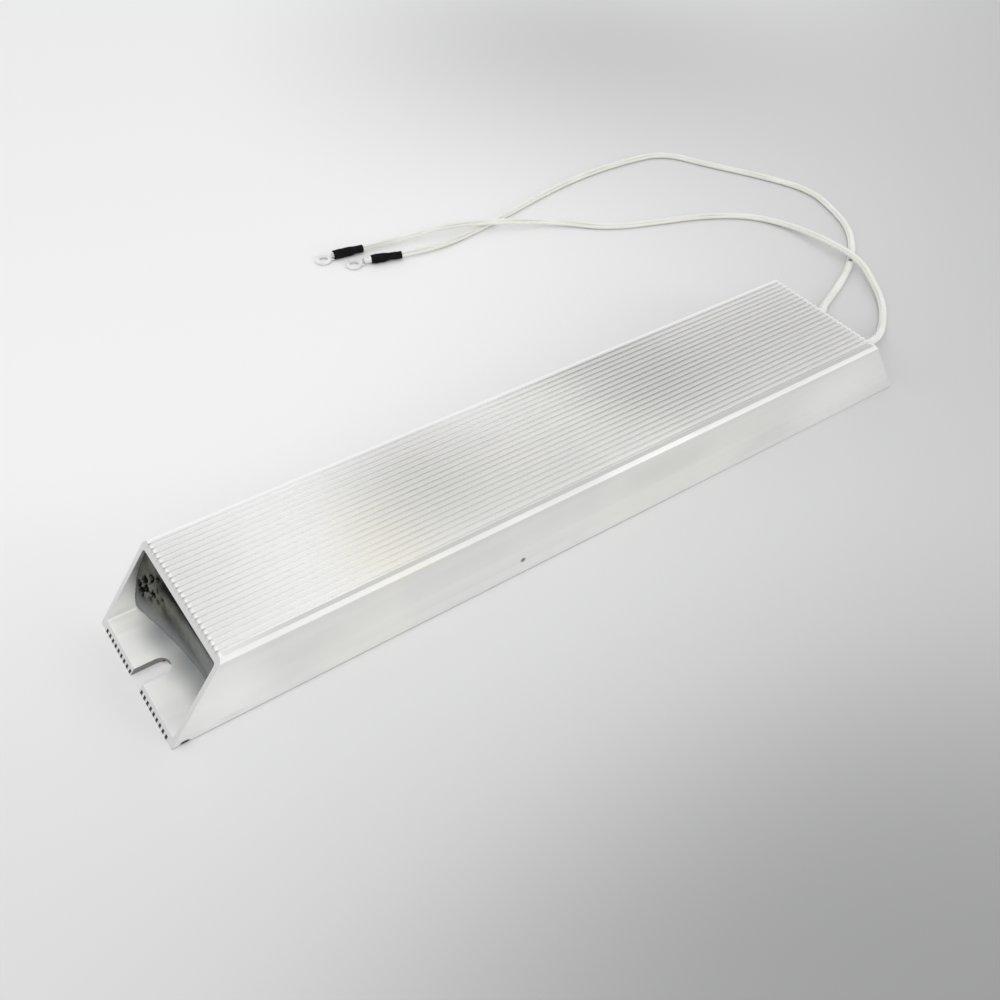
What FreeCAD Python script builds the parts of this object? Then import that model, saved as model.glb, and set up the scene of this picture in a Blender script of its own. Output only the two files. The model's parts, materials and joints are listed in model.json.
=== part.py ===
import FreeCAD, Part
import math
import os

# Aluminium housed power resistor of the flat trapezoid kind, lying on its foot.
# All sizes are millimetres. X runs along the length with both leads at its +X end,
# Y runs across, Z runs up, and the origin is the middle of the housing's underside.

Vector = FreeCAD.Vector

# Housing: one length of ribbed extrusion, sawn off aslant at both ends
housing_length = 335.0
housing_width = 60.0
housing_height = 30.0
end_slant = 21.5
side_wall = 2.0
top_wall = 2.4
foot_wall = 2.4
shoulder_bevel = 1.3
foot_edge_radius = 0.6
cavity_radius = 1.0

# Fine cooling grooves with bevelled bottoms, on the top and on the underside
groove_pitch = 2.5
groove_width = 1.25
groove_depth = 1.05
groove_corner = 0.35
top_smooth_band = 3.75
foot_smooth_band = 5.0

# Open screw slots milled into both ends of the foot
slot_inset = 9.0
slot_width = 7.6

# Cement that closes both ends, and the packed sand between
seal_depth = 11.0
seal_reach = 1.0
slump_left = 9.0
slump_right = 1.5
lead_hole_clearance = 0.1
void_radius = 1.5
void_depth = 8.5

# Two notched mica cards, side by side, that carry the winding
card_end_margin = 11.0
card_side_margin = 3.5
card_thickness = 1.0
card_gap = 3.0
notch_depth = 0.6
notch_clearance = 0.15

# Flat resistance ribbon, wound edge to edge round each card
ribbon_width = 3.0
ribbon_thickness = 0.3
turn_pitch = 11.0

# Mica sheets above and below the wound cards
sheet_thickness = 0.5
sheet_side_margin = 1.0

# Metal tabs, the link between the two cards, and their rivets
tab_size = 8.0
tab_inset = 1.0
tab_overhang = 2.0
tab_thickness = 0.5
link_strap_width = 3.0
tongue_width = 1.8
rivet_radius = 1.2
rivet_head_radius = 2.2
rivet_head_height = 0.5
rivet_clearance = 0.05

# Crimp sleeves that join each tab to its lead, inside the housing
crimp_length = 8.0
crimp_outer_radius = 1.7
crimp_bore_radius = 1.0
crimp_gap = 0.5
pocket_clearance = 0.1

# Leads: braided white sleeving over a stranded core
lead_radius = 1.5
core_radius = 0.9
lead_rest_height = lead_radius
lead_top_height = 7.8

# Ring terminals and the black shrink sleeves at the free ends
barrel_length = 5.0
barrel_outer_radius = 1.7
barrel_bore_radius = 1.05
ring_radius = 4.0
ring_hole_radius = 2.15
ring_offset = 10.0
ring_thickness = 0.8
neck_width = 3.6
crimp_dent_radius = 1.3
crimp_dent_depth = 0.35
core_poke = 0.8
shrink_wide_radius = 2.3
shrink_narrow_radius = 1.9
shrink_shoulder = 2.5
shrink_over_barrel_a = 1.5
shrink_over_barrel_b = 4.8
shrink_over_lead_a = 14.0
shrink_over_lead_b = 10.6
lug_height = shrink_wide_radius

# Levels and stations that follow from the sizes above
cavity_width = housing_width - 2 * side_wall
seal_face = housing_length / 2 - end_slant + seal_reach
seal_start = seal_face - seal_depth
slot_centre = housing_length / 2 - slot_inset
card_length = 2 * (seal_start - card_end_margin)
card_width = (cavity_width - card_gap) / 2 - card_side_margin
sheet_width = cavity_width - 2 * sheet_side_margin
card_level = (foot_wall + housing_height - top_wall) / 2
card_offset = (card_width + card_gap) / 2
card_top = card_level + card_thickness / 2
card_bottom = card_level - card_thickness / 2
tab_top = card_top + tab_thickness
lead_level = card_top + tab_thickness / 2
tab_inner = card_length / 2 - tab_inset - tab_size
tab_middle = tab_inner + tab_size / 2
tab_end = card_length / 2 + tab_overhang
crimp_start = tab_end + crimp_gap
crimp_middle = crimp_start + crimp_length / 2
ribbon_station = tab_inner + ribbon_width / 2 + notch_clearance
sheet_length = 2 * (tab_inner - notch_clearance - ribbon_width)

# Where the leads run, point by point, from inside the far cement to the terminals.
# Here X is measured from the outer face of that cement.
route_a = [
    (-seal_depth, card_offset, lead_level),
    (6.5, card_offset, lead_level),
    (23.5, 16.8, 10.5),
    (38.0, 28.0, lead_rest_height),
    (60.5, 37.0, lead_rest_height),
    (84.0, 50.0, lead_rest_height),
    (104.0, 70.0, lead_rest_height),
    (112.0, 90.0, lead_rest_height),
    (116.5, 110.5, lead_rest_height),
    (105.0, 135.0, lead_rest_height),
    (87.5, 161.5, lead_rest_height),
    (74.0, 186.0, lead_rest_height),
    (47.0, 189.5, lead_rest_height),
    (17.0, 189.0, lead_rest_height),
    (-13.0, 184.0, lead_rest_height),
    (-43.0, 176.5, lead_rest_height),
    (-71.0, 170.5, lead_rest_height),
    (-98.0, 167.8, lug_height),
    (-123.3, 174.9, lug_height),
]
route_b = [
    (-seal_depth, -card_offset, lead_level),
    (6.5, -card_offset, lead_level),
    (24.0, -11.4, 10.5),
    (47.0, -1.3, lead_rest_height),
    (65.0, 13.5, lead_rest_height),
    (74.0, 29.0, 3.0),
    (81.0, 44.2, lead_top_height),
    (80.5, 66.2, lead_top_height),
    (78.5, 90.2, 3.0),
    (67.5, 108.6, lead_rest_height),
    (46.5, 121.0, lead_rest_height),
    (20.5, 129.4, lead_rest_height),
    (-4.8, 138.3, lead_rest_height),
    (-24.5, 156.0, 3.0),
    (-51.0, 167.8, lead_top_height),
    (-79.0, 179.6, lead_top_height),
    (-106.0, 183.8, lug_height),
    (-133.8, 187.6, lug_height),
]
route_a, route_b = ([(seal_face + x, y, z) for x, y, z in route] for route in (route_a, route_b))


def box(x0, x1, y0, y1, z0, z1):
    """A box between two corners."""
    return Part.makeBox(x1 - x0, y1 - y0, z1 - z0, Vector(x0, y0, z0))


def rod(radius, start, end):
    """A round bar between two points."""
    axis = Vector(*end) - Vector(*start)
    return Part.makeCylinder(radius, axis.Length, Vector(*start), axis)


def rounded_section(x, y0, y1, z0, z1, radius):
    """A rectangle with four round corners, standing across the length at x."""
    k = radius * (1 - math.sqrt(0.5))
    corners = [
        ((y1 - radius, z0), (y1 - k, z0 + k), (y1, z0 + radius)),
        ((y1, z1 - radius), (y1 - k, z1 - k), (y1 - radius, z1)),
        ((y0 + radius, z1), (y0 + k, z1 - k), (y0, z1 - radius)),
        ((y0, z0 + radius), (y0 + k, z0 + k), (y0 + radius, z0)),
    ]
    edges = []
    last = Vector(x, y0 + radius, z0)
    for first, middle, end in corners:
        first, middle, end = (Vector(x, *p) for p in (first, middle, end))
        edges.append(Part.makeLine(last, first))
        edges.append(Part.Arc(first, middle, end).toShape())
        last = end
    return Part.Face(Part.Wire(edges))


def cavity_block(x0, x1):
    """A length of what fills the inside of the extrusion."""
    half = cavity_width / 2
    face = rounded_section(x0, -half, half, foot_wall, housing_height - top_wall, cavity_radius)
    return face.extrude(Vector(x1 - x0, 0, 0))


def groove_places(smooth_band):
    """Where the grooves lie across the width, from the +Y side to the -Y side."""
    count = int((housing_width - 2 * smooth_band) / groove_pitch + 1e-6) + 1
    return [((count - 1) / 2 - i) * groove_pitch for i in range(count)]


def groove_edges(y, level, inward, step):
    """One groove of the outline, walked along Y by step, cut inward from level."""
    half = step * groove_width / 2
    floor = half - step * groove_corner
    shoulder = level + inward * (groove_depth - groove_corner)
    bottom = level + inward * groove_depth
    x = -housing_length / 2
    left = [(y - half, level), (y - half, shoulder), (y - floor, bottom)]
    right = [(y + floor, bottom), (y + half, shoulder), (y + half, level)]
    points = [Vector(x, *place) for place in left + right]
    lines = [Part.makeLine(a, b) for a, b in zip(points, points[1:])]
    return lines, points[0], points[-1]


def extrusion_outline():
    """The closed outer outline of the extrusion, with its grooves."""
    x = -housing_length / 2
    half, top = housing_width / 2, housing_height
    bevel, radius = shoulder_bevel, foot_edge_radius
    k = radius * (1 - math.sqrt(0.5))
    edges = []
    last = Vector(x, -half + radius, 0)
    for y in reversed(groove_places(foot_smooth_band)):
        groove, mouth, out = groove_edges(y, 0, 1, 1)
        edges += [Part.makeLine(last, mouth)] + groove
        last = out
    corner = [Vector(x, half - radius, 0), Vector(x, half - k, k), Vector(x, half, radius)]
    edges.append(Part.makeLine(last, corner[0]))
    edges.append(Part.Arc(*corner).toShape())
    shoulder = [Vector(x, half, top - bevel), Vector(x, half - bevel, top)]
    edges.append(Part.makeLine(corner[2], shoulder[0]))
    edges.append(Part.makeLine(shoulder[0], shoulder[1]))
    last = shoulder[1]
    for y in groove_places(top_smooth_band):
        groove, mouth, out = groove_edges(y, top, -1, -1)
        edges += [Part.makeLine(last, mouth)] + groove
        last = out
    shoulder = [Vector(x, -half + bevel, top), Vector(x, -half, top - bevel)]
    edges.append(Part.makeLine(last, shoulder[0]))
    edges.append(Part.makeLine(shoulder[0], shoulder[1]))
    corner = [Vector(x, -half, radius), Vector(x, -half + k, k), Vector(x, -half + radius, 0)]
    edges.append(Part.makeLine(shoulder[1], corner[0]))
    edges.append(Part.Arc(*corner).toShape())
    return Part.Wire(edges)


def end_wedge(side):
    """What the slanting saw cut takes off one end."""
    tip = side * housing_length / 2
    edge = tip - side * end_slant
    rise = housing_height / end_slant
    spare = 1.0
    y = -housing_width / 2 - spare
    points = [
        Vector(tip + side * spare, y, -spare * rise),
        Vector(edge - side * spare, y, housing_height + spare * rise),
        Vector(tip + side * spare, y, housing_height + spare * rise),
    ]
    face = Part.Face(Part.makePolygon(points + [points[0]]))
    return face.extrude(Vector(0, housing_width + 2 * spare, 0))


def screw_slot(side):
    """The open slot in one end of the foot, round at its inner end."""
    centre = side * slot_centre
    reach = side * (housing_length / 2 + slot_width)
    low, high = -foot_wall, 2 * foot_wall
    mouth = box(min(centre, reach), max(centre, reach), -slot_width / 2, slot_width / 2, low, high)
    return mouth.fuse(rod(slot_width / 2, (centre, 0, low), (centre, 0, high)))


def make_housing():
    """The ribbed extrusion with slanting ends and a screw slot in each end of its foot."""
    body = Part.Face(extrusion_outline()).extrude(Vector(housing_length, 0, 0))
    spare = 1.0
    body = body.cut(cavity_block(-housing_length / 2 - spare, housing_length / 2 + spare))
    for side in (-1, 1):
        body = body.cut(end_wedge(side)).cut(screw_slot(side))
    return body


def turn_count():
    """How many turns fit on a card at about the wished pitch."""
    return max(2, round(2 * ribbon_station / turn_pitch + 0.5))


def real_pitch():
    """The pitch that brings the last turn to its tab."""
    return 2 * ribbon_station / (turn_count() - 0.5)


def make_card(side):
    """A mica card with a notch in its edges for every turn."""
    centre = side * card_offset
    y0, y1 = centre - card_width / 2, centre + card_width / 2
    card = box(-card_length / 2, card_length / 2, y0, y1, card_bottom, card_top)
    outer, inner = (y1, y0) if side > 0 else (y0, y1)
    half = ribbon_width / 2 + notch_clearance
    cuts = []
    for i in range(turn_count()):
        x = ribbon_station - i * real_pitch()
        for edge, place in ((outer, x), (inner, x - real_pitch() / 2)):
            low, high = edge - notch_depth, edge + notch_depth
            cuts.append(box(place - half, place + half, low, high, card_bottom, card_top))
    for x in (-tab_middle, tab_middle):
        hole = rivet_radius + rivet_clearance
        cuts.append(rod(hole, (x, centre, card_bottom), (x, centre, card_top)))
    return card.cut(Part.makeCompound(cuts))


def ribbon_section(x, inner, outer):
    """The four corners of the ribbon's section at one fold, inner face first."""
    half = ribbon_width / 2
    return [
        Vector(x - half, *inner),
        Vector(x + half, *inner),
        Vector(x + half, *outer),
        Vector(x - half, *outer),
    ]


def folded_ribbon(sections):
    """One closed solid through all the sections, with four straight faces from each to the next."""
    faces = []
    for here, there in zip(sections, sections[1:]):
        for i in range(4):
            j = (i + 1) % 4
            first, second = Part.makeLine(here[i], here[j]), Part.makeLine(there[i], there[j])
            faces.append(Part.makeRuledSurface(first, second))
    for corners in (sections[0], sections[-1]):
        faces.append(Part.Face(Part.makePolygon(corners + [corners[0]])))
    shell = Part.makeShell(faces)
    shell.sewShape()
    return Part.makeSolid(shell)


def make_winding(side):
    """One continuous ribbon, wound round a card from its terminal tab to the link."""
    centre = side * card_offset
    thick = ribbon_thickness
    reach = card_width / 2 - notch_depth
    top = (card_top, card_top + thick)
    bottom = (card_bottom, card_bottom - thick)

    def fold(x, way, level):
        y_in = centre + side * way * reach
        y_out = y_in + side * way * thick
        return ribbon_section(x, (y_in, level[0]), (y_out, level[1]))

    def end(x, way):
        y = centre + side * way * tab_size / 2
        return ribbon_section(x, (y, top[0]), (y, top[1]))

    pitch = real_pitch()
    sections = [end(ribbon_station, 1)]
    for i in range(turn_count()):
        x = ribbon_station - i * pitch
        sections += [fold(x, 1, top), fold(x, 1, bottom)]
        sections += [fold(x - pitch / 2, -1, bottom), fold(x - pitch / 2, -1, top)]
    sections.append(end(-ribbon_station, -1))
    return folded_ribbon(sections)


def make_sheet(level):
    """A plain mica sheet over both cards, its underside at level."""
    x, y = sheet_length / 2, sheet_width / 2
    return box(-x, x, -y, y, level, level + sheet_thickness)


def rivet_hole(x, y):
    """The hole for a rivet through a tab or the link."""
    return rod(rivet_radius + rivet_clearance, (x, y, card_top), (x, y, tab_top))


def make_tab(side):
    """A terminal tab: a square pad on the card and a narrow tongue into the crimp."""
    centre = side * card_offset
    half = tab_size / 2
    pad = box(tab_inner, tab_end, centre - half, centre + half, card_top, tab_top)
    half = tongue_width / 2
    tongue_end = crimp_middle - pocket_clearance
    tongue = box(tab_end, tongue_end, centre - half, centre + half, card_top, tab_top)
    return pad.fuse(tongue).removeSplitter().cut(rivet_hole(tab_middle, centre))


def make_link():
    """The strap that joins the two cards' windings in series, with a pad on each card."""
    half = tab_size / 2
    x0, x1 = -tab_inner - tab_size, -tab_inner
    link = box(x0, x0 + link_strap_width, -card_offset, card_offset, card_top, tab_top)
    for y in (-card_offset, card_offset):
        link = link.fuse(box(x0, x1, y - half, y + half, card_top, tab_top))
    link = link.removeSplitter()
    for y in (-card_offset, card_offset):
        link = link.cut(rivet_hole(-tab_middle, y))
    return link


def make_rivet(x, y):
    """A flat rivet with a head on both sides."""
    low, high = card_bottom - rivet_head_height, tab_top + rivet_head_height
    shank = rod(rivet_radius, (x, y, low), (x, y, high))
    foot = rod(rivet_head_radius, (x, y, low), (x, y, card_bottom))
    head = rod(rivet_head_radius, (x, y, tab_top), (x, y, high))
    return shank.fuse([foot, head]).removeSplitter()


def make_crimp(side):
    """A plain crimp sleeve round a tab's tongue and the end of a lead's core."""
    start = (crimp_start, side * card_offset, lead_level)
    end = (crimp_start + crimp_length, side * card_offset, lead_level)
    return rod(crimp_outer_radius, start, end).cut(rod(crimp_bore_radius, start, end))


def make_inner_core(side):
    """The bared core of a lead, from the middle of the crimp to the white sleeving."""
    start = (crimp_middle + pocket_clearance, side * card_offset, lead_level)
    return rod(core_radius, start, (seal_start, side * card_offset, lead_level))


def make_filler():
    """Quartz sand packed round the wound cards, between the two end seals."""
    body = cavity_block(-seal_start, seal_start)
    pack_bottom = card_bottom - ribbon_thickness - sheet_thickness
    pack_top = tab_top + rivet_head_height
    reach = tab_end + pocket_clearance
    half = sheet_width / 2
    body = body.cut(box(-reach, reach, -half, half, pack_bottom, pack_top))
    for side in (-1, 1):
        start = (reach, side * card_offset, lead_level)
        end = (seal_start, side * card_offset, lead_level)
        body = body.cut(rod(crimp_outer_radius + pocket_clearance, start, end))
    return body


def make_near_seal():
    """The cement plug at the end without leads, slumped outward at its foot, with open voids."""
    half = cavity_width / 2
    low, high = foot_wall, housing_height - top_wall
    sections = []
    for y, slump in ((-half, slump_right), (half, slump_left)):
        corners = [(seal_start, low), (seal_start, high), (seal_face, high), (seal_face + slump, low)]
        points = [Vector(-x, y, z) for x, z in corners]
        sections.append(Part.makePolygon(points + [points[0]]))
    reach = seal_face + slump_left
    body = cavity_block(-reach, -seal_start).common(Part.makeLoft(sections, True, True))
    for step, rise in ((2.0, 0.6), (5.2, 2.2), (6.4, -1.4)):
        y, z = half - void_radius - step, card_level + rise
        body = body.cut(rod(void_radius, (-reach, y, z), (-reach + void_depth, y, z)))
    return body


def make_far_seal():
    """The cement plug that both leads pass through."""
    body = cavity_block(seal_start, seal_face)
    for y in (-card_offset, card_offset):
        start, end = (seal_start, y, lead_level), (seal_face, y, lead_level)
        body = body.cut(rod(lead_radius + lead_hole_clearance, start, end))
    return body


def make_lead(name, route):
    """A lead as a plain round tube: straight runs joined by tangent arcs."""
    points = [Vector(*p) for p in route]
    edges = []
    radii = []
    last = points[0]
    for before, corner, after in zip(points, points[1:], points[2:]):
        arrive, leave = corner - before, after - corner
        trim = 0.45 * min(arrive.Length, leave.Length)
        turn = arrive.getAngle(leave)
        radius = trim / math.tan(turn / 2)
        arrive, leave = arrive.normalize(), leave.normalize()
        inward = (leave - arrive).normalize()
        first, end = corner - arrive * trim, corner + leave * trim
        middle = corner + inward * (radius / math.cos(turn / 2) - radius)
        edges.append(Part.LineSegment(last, first).toShape())
        edges.append(Part.Arc(first, middle, end).toShape())
        radii.append(radius)
        last = end
    edges.append(Part.LineSegment(last, points[-1]).toShape())
    path = Part.Wire(edges)
    section = Part.Wire([Part.makeCircle(lead_radius, points[0], points[1] - points[0])])
    tube = path.makePipeShell([section], True, True)
    wanted = math.pi * lead_radius**2 * path.Length
    print(name, "length", round(path.Length, 1), "volume ratio", round(tube.Volume / wanted, 4))
    print(name, "radii", [round(r, 1) for r in radii])
    return tube


def lug_place(route):
    """The place of a terminal: its barrel starts where the lead's sleeving ends."""
    end, before = Vector(*route[-1]), Vector(*route[-2])
    way = end - before
    turn = math.degrees(math.atan2(way.y, way.x))
    return FreeCAD.Placement(end, FreeCAD.Rotation(Vector(0, 0, 1), turn))


def placed(shape, route):
    """A piece drawn along +X from the end of a lead, put where that lead ends."""
    shape.Placement = lug_place(route)
    return shape


def make_lug(route):
    """A ring terminal: a crimped barrel and a flat ring, stamped as one piece."""
    barrel = rod(barrel_outer_radius, (0, 0, 0), (barrel_length, 0, 0))
    low, high = -barrel_outer_radius, -barrel_outer_radius + ring_thickness
    half = neck_width / 2
    neck = box(barrel_length, ring_offset, -half, half, low, high)
    ring = rod(ring_radius, (ring_offset, 0, low), (ring_offset, 0, high))
    lug = barrel.fuse([neck, ring]).removeSplitter()
    lug = lug.cut(rod(barrel_bore_radius, (0, 0, 0), (barrel_length, 0, 0)))
    lug = lug.cut(rod(ring_hole_radius, (ring_offset, 0, low), (ring_offset, 0, high)))
    dent = barrel_outer_radius + crimp_dent_radius - crimp_dent_depth
    middle = barrel_length / 2
    reach = barrel_outer_radius
    lug = lug.cut(rod(crimp_dent_radius, (middle, -reach, dent), (middle, reach, dent)))
    return placed(lug, route)


def make_outer_core(route):
    """The bared core inside the terminal's barrel, just past its mouth."""
    return placed(rod(core_radius, (0, 0, 0), (barrel_length + core_poke, 0, 0)), route)


def make_shrink_sleeve(route, over_barrel, over_lead):
    """A shrink sleeve, wide over the barrel and narrow over the lead."""
    wide, narrow = shrink_wide_radius, shrink_narrow_radius
    outline = [
        Vector(over_barrel, barrel_outer_radius, 0),
        Vector(over_barrel, wide, 0),
        Vector(-shrink_shoulder, wide, 0),
        Vector(-2 * shrink_shoulder, narrow, 0),
        Vector(-over_lead, narrow, 0),
        Vector(-over_lead, lead_radius, 0),
        Vector(0, lead_radius, 0),
        Vector(0, barrel_outer_radius, 0),
    ]
    face = Part.Face(Part.makePolygon(outline + [outline[0]]))
    return placed(face.revolve(Vector(0, 0, 0), Vector(1, 0, 0), 360), route)


def save(name, shape):
    """Write one piece, after a check of its solids."""
    solids = shape.Solids
    kept = solids[0] if len(solids) == 1 else Part.makeCompound(solids)
    if not kept.isValid():
        raise ValueError(name + " is not a valid solid")
    kept.exportStep("parts/" + name + ".step")
    print(name, len(solids), "solid, volume", round(kept.Volume, 1))


os.makedirs("parts", exist_ok=True)
save("housing", make_housing())
save("end_seal_near", make_near_seal())
save("end_seal_far", make_far_seal())
save("sand_filling", make_filler())
save("mica_sheet_lower", make_sheet(card_bottom - ribbon_thickness - sheet_thickness))
save("mica_sheet_upper", make_sheet(card_top + ribbon_thickness))
save("series_link", make_link())
for mark, side in (("a", 1), ("b", -1)):
    save("mica_card_" + mark, make_card(side))
    save("winding_" + mark, make_winding(side))
    save("terminal_tab_" + mark, make_tab(side))
    save("crimp_sleeve_" + mark, make_crimp(side))
    save("core_inner_" + mark, make_inner_core(side))
    save("tab_rivet_" + mark, make_rivet(tab_middle, side * card_offset))
    save("link_rivet_" + mark, make_rivet(-tab_middle, side * card_offset))
shrinks = {"a": (shrink_over_barrel_a, shrink_over_lead_a), "b": (shrink_over_barrel_b, shrink_over_lead_b)}
for mark, route in (("a", route_a), ("b", route_b)):
    save("lead_" + mark, make_lead("lead_" + mark, route))
    save("ring_terminal_" + mark, make_lug(route))
    save("core_outer_" + mark, make_outer_core(route))
    save("shrink_sleeve_" + mark, make_shrink_sleeve(route, *shrinks[mark]))
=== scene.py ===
# %% [markdown]
# # An aluminium housed power resistor
#
# The resistor is a length of ribbed aluminium extrusion, sawn aslant at both ends. Cement
# closes its mouths, and two leads in white glass sleeving come out of the far one.
# The solids come from the frame. This script gives them their finishes, and remakes the
# soft or rough pieces that plain solids can't show: sleeving, shrink sleeves, cement, strands.

# %% Load the frame
import bmesh
import bpy
import json
import math
from mathutils import Matrix, Vector, noise


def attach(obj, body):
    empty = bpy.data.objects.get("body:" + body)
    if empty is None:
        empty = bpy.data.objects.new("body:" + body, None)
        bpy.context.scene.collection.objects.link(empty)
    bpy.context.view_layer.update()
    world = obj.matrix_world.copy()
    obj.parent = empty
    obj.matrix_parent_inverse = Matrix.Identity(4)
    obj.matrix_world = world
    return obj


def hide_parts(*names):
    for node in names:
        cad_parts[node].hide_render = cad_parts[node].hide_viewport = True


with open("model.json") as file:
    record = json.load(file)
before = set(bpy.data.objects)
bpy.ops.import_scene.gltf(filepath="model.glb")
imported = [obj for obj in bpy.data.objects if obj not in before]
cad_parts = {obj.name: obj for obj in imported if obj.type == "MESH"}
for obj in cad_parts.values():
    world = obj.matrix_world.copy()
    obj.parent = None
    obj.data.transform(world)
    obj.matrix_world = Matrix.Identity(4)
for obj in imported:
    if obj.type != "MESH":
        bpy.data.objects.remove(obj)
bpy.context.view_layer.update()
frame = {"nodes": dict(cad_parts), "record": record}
nodes = frame["nodes"]
scene = bpy.context.scene
mm = 0.001
print("pieces in the frame:", len(nodes))

# %% [markdown]
# ## The camera
#
# A camera is a place, three directions and a lens. The heading, the downward tilt and the
# roll are kept as three angles, and a matrix with the three directions as its columns turns
# the camera. This is easier to correct than three Euler angles that act on each other.

# %% Camera
camera_place = Vector((-197.27, -232.30, 294.53)) * mm
heading = math.radians(-36.916)
downward = math.radians(44.758)
roll = math.radians(2.914)
lens = 38.92


def add_camera():
    look = Vector((-math.sin(heading) * math.cos(downward),
                   math.cos(heading) * math.cos(downward), -math.sin(downward)))
    level = Vector((math.cos(heading), math.sin(heading), 0))
    upright = level.cross(look)
    right = level * math.cos(roll) + upright * math.sin(roll)
    up = upright * math.cos(roll) - level * math.sin(roll)
    camera = bpy.data.objects.new("camera", bpy.data.cameras.new("camera"))
    camera.data.lens = lens
    camera.data.sensor_width = 36
    camera.data.clip_start = 0.01
    turn = Matrix((right, up, -look)).transposed().to_4x4()
    camera.matrix_world = Matrix.Translation(camera_place) @ turn
    scene.collection.objects.link(camera)
    return camera


scene.camera = add_camera()
scene.view_settings.view_transform = "Standard"
print("camera height in mm:", round(camera_place.z / mm))

# %% [markdown]
# ## Where the leads run
#
# A lead is a loose curve. A NURBS spline of order 3 rounds the corners of a short list of
# points, as a springy lead does, so the list stays short enough to edit by hand. A curve
# without a bevel, turned into a mesh, gives the points that the sleeving will follow.

# %% Lead routes, in millimetres: a point 1.5 high lies on the floor
lead_radius = 1.5 * mm
lead_level = 15.75
route_a = [
    (136.0, 13.0, lead_level), (153.5, 13.0, lead_level), (170.5, 16.8, 10.5),
    (185.0, 28.0, 1.5), (207.5, 37.0, 1.5), (231.0, 50.0, 1.5),
    (251.0, 70.0, 1.5), (259.0, 90.0, 1.5), (263.5, 110.5, 1.5),
    (252.0, 135.0, 1.5), (234.5, 161.5, 1.5), (221.0, 186.0, 1.5),
    (194.0, 189.5, 1.5), (164.0, 189.0, 1.5), (134.0, 184.0, 1.5),
    (104.0, 176.5, 1.5), (76.0, 170.5, 1.5), (49.0, 167.8, 2.3), (23.7, 174.9, 2.3),
]
route_b = [
    (136.0, -13.0, lead_level), (153.5, -13.0, lead_level), (171.0, -11.4, 10.5),
    (194.0, -1.3, 1.5), (212.0, 13.5, 1.5), (221.0, 29.0, 3.4),
    (228.0, 44.2, 5.0), (227.5, 66.2, 4.8), (225.5, 90.2, 2.0),
    (214.5, 108.6, 1.5), (193.5, 121.0, 1.5), (167.5, 129.4, 1.5),
    (142.2, 138.3, 1.5), (122.5, 156.0, 2.2), (96.0, 167.8, 4.8),
    (68.0, 179.6, 4.8), (41.0, 183.8, 2.3), (13.2, 187.6, 2.3),
]
routes = {"a": [Vector(p) * mm for p in route_a], "b": [Vector(p) * mm for p in route_b]}


def smooth_line(points):
    """Points along the NURBS spline that has these control points."""
    curve = bpy.data.curves.new("lead_route", "CURVE")
    curve.dimensions = "3D"
    spline = curve.splines.new("NURBS")
    spline.points.add(len(points) - 1)
    for control, place in zip(spline.points, points):
        control.co = (*place, 1)
    spline.order_u = 3
    spline.use_endpoint_u = True
    spline.resolution_u = 32
    holder = bpy.data.objects.new("lead_route", curve)
    mesh = bpy.data.meshes.new_from_object(holder)
    line = [vert.co.copy() for vert in mesh.vertices]
    bpy.data.objects.remove(holder)
    bpy.data.meshes.remove(mesh)
    return line


def line_length(line):
    return sum((b - a).length for a, b in zip(line, line[1:]))


def evenly(line, step):
    """The same line with its points a step apart."""
    count = round(line_length(line) / step)
    gap = line_length(line) / count
    places, walked = [line[0]], 0.0
    for start, end in zip(line, line[1:]):
        run = (end - start).length
        while run and walked + run >= gap * len(places) and len(places) < count:
            places.append(start.lerp(end, (gap * len(places) - walked) / run))
        walked += run
    return places + [line[-1]]


lead_lines = {mark: smooth_line(route) for mark, route in routes.items()}
lead_lengths = {mark: line_length(line) for mark, line in lead_lines.items()}
print("lead lengths in mm:", {mark: round(length / mm, 1) for mark, length in lead_lengths.items()})

# %% [markdown]
# ## Effects that several finishes share
#
# A node group is an effect that is built once and placed in many materials, each time with
# its own numbers. These groups only put out masks and heights. The shader stays in the
# material, where a reader looks for it first.

# %% Node group helpers
def new_group(name, inputs, outputs):
    """An empty node group with float or vector inputs and float outputs."""
    group = bpy.data.node_groups.new(name, "ShaderNodeTree")
    for label, kind, default in inputs:
        socket = group.interface.new_socket(label, in_out="INPUT", socket_type=kind)
        if kind == "NodeSocketFloat":
            socket.default_value = default
    for label in outputs:
        group.interface.new_socket(label, in_out="OUTPUT", socket_type="NodeSocketFloat")
    return group, group.nodes.new("NodeGroupInput"), group.nodes.new("NodeGroupOutput")


def add_math(tree, operation, first, second):
    """A maths node on two sockets or numbers, and its result."""
    node = tree.nodes.new("ShaderNodeMath")
    node.operation = operation
    for socket, value in zip(node.inputs, (first, second)):
        if isinstance(value, (int, float)):
            socket.default_value = value
        else:
            tree.links.new(value, socket)
    return node.outputs[0]


def add_noise(tree, vector, scale, detail=4.0, rough=0.55):
    """A noise pattern on a vector socket, and its strength."""
    node = tree.nodes.new("ShaderNodeTexNoise")
    node.inputs["Detail"].default_value = detail
    node.inputs["Roughness"].default_value = rough
    tree.links.new(vector, node.inputs["Vector"])
    if isinstance(scale, (int, float)):
        node.inputs["Scale"].default_value = scale
    else:
        tree.links.new(scale, node.inputs["Scale"])
    return node.outputs["Fac"]


def add_stretch(tree, vector, scales):
    """The vector with each axis made finer or coarser."""
    node = tree.nodes.new("ShaderNodeMapping")
    node.inputs["Scale"].default_value = scales
    tree.links.new(vector, node.inputs["Vector"])
    return node.outputs["Vector"]


def add_ramp(tree, value, low, high):
    """A mask from 0 at low to 1 at high, with soft ends."""
    node = tree.nodes.new("ShaderNodeMapRange")
    node.interpolation_type = "SMOOTHSTEP"
    node.inputs["From Min"].default_value = low
    node.inputs["From Max"].default_value = high
    tree.links.new(value, node.inputs["Value"])
    return node.outputs["Result"]


print("helpers ready")

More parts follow.
